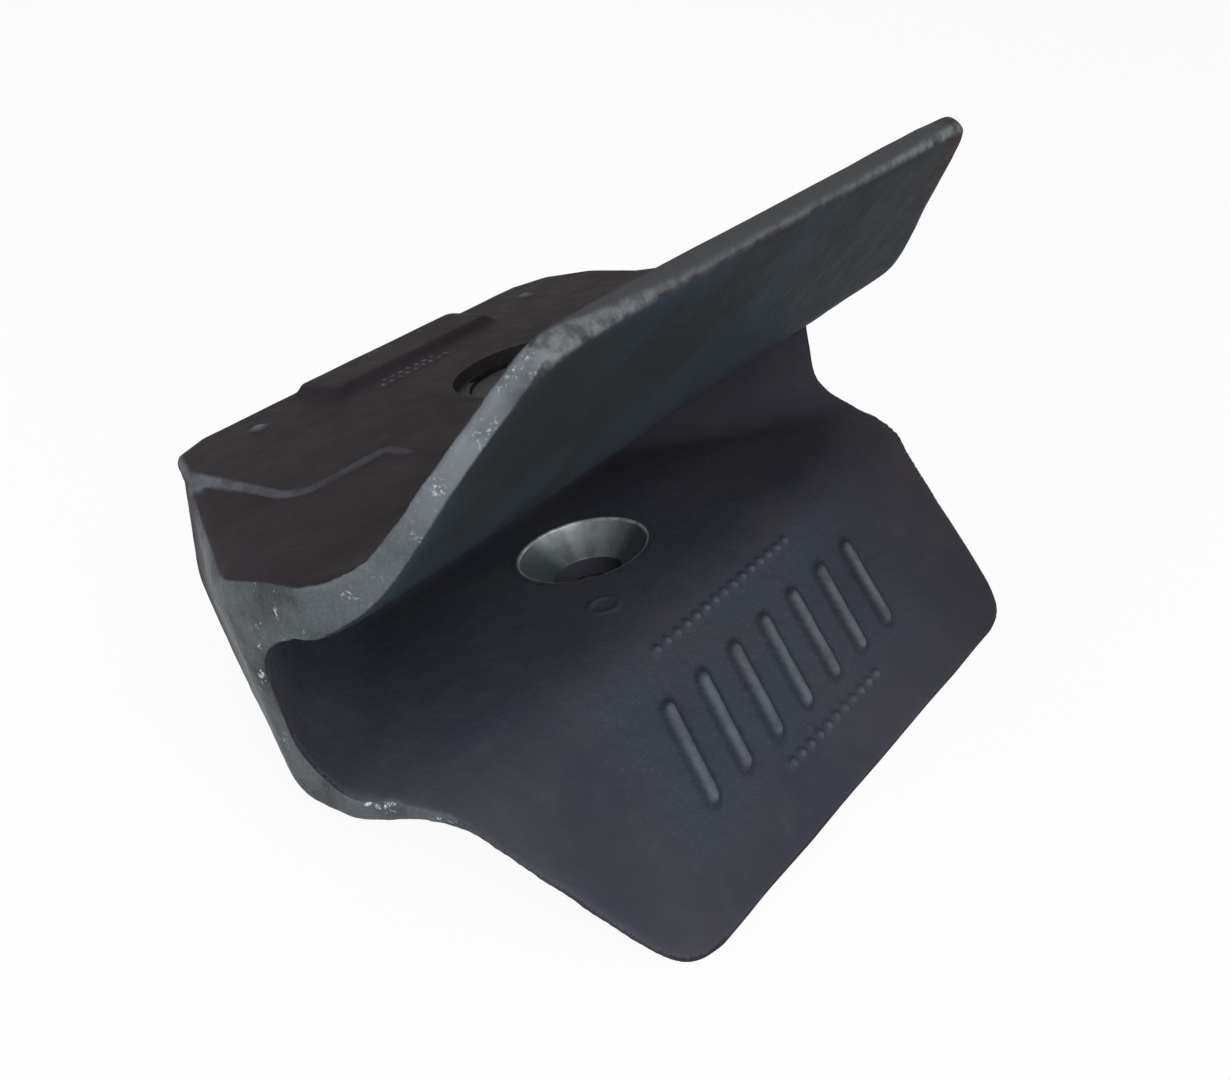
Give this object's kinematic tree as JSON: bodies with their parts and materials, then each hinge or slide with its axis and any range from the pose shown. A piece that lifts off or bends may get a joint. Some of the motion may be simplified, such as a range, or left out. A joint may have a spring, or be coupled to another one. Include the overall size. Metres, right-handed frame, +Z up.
{
  "type": "excavator lip shroud",
  "caption": "Cast wear shroud with two splayed legs that slides over a bucket lip, with a cone pin seat below and a quarter-turn lock above.",
  "frame": {"origin": "on the pin axis, at the pocket floor on which the bucket lip rests", "axes": "+X out of the pocket mouth towards the bucket, +Y along the lip, +Z up along the pin axis, from the cone seat to the turn lock"},
  "size_m": [0.2242, 0.305, 0.206],
  "materials": {
    "painted_casting": "black satin paint over a sand-cast skin, worn to bluish grey on the rim",
    "machined_steel": "machined cone with fine turning marks, bright thin edge",
    "dark_steel": "painted with the casting",
    "dowel_steel": "ground steel",
    "cap_steel": "phosphated forged steel, dark grey",
    "seal_rubber": "smooth black rubber",
    "pad_rubber": "matt black rubber",
    "plug_rubber": "matt black rubber"
  },
  "bodies": {
    "shroud": {"shroud_casting": "painted_casting", "lower_seat_bush": "machined_steel", "upper_lock_bush": "dark_steel", "bush_dowel": "dowel_steel"},
    "lock_cap": {"lock_cap": "cap_steel", "cap_seal": "seal_rubber", "press_pad": "pad_rubber", "socket_plug": "plug_rubber"}
  },
  "joints": [
    {"name": "cap_turn", "type": "hinge", "parent": "shroud", "child": "lock_cap", "pos_m": [0, 0, 0.068], "axis": [0, 0, 1], "range_deg": [-90, 0]}
  ]
}
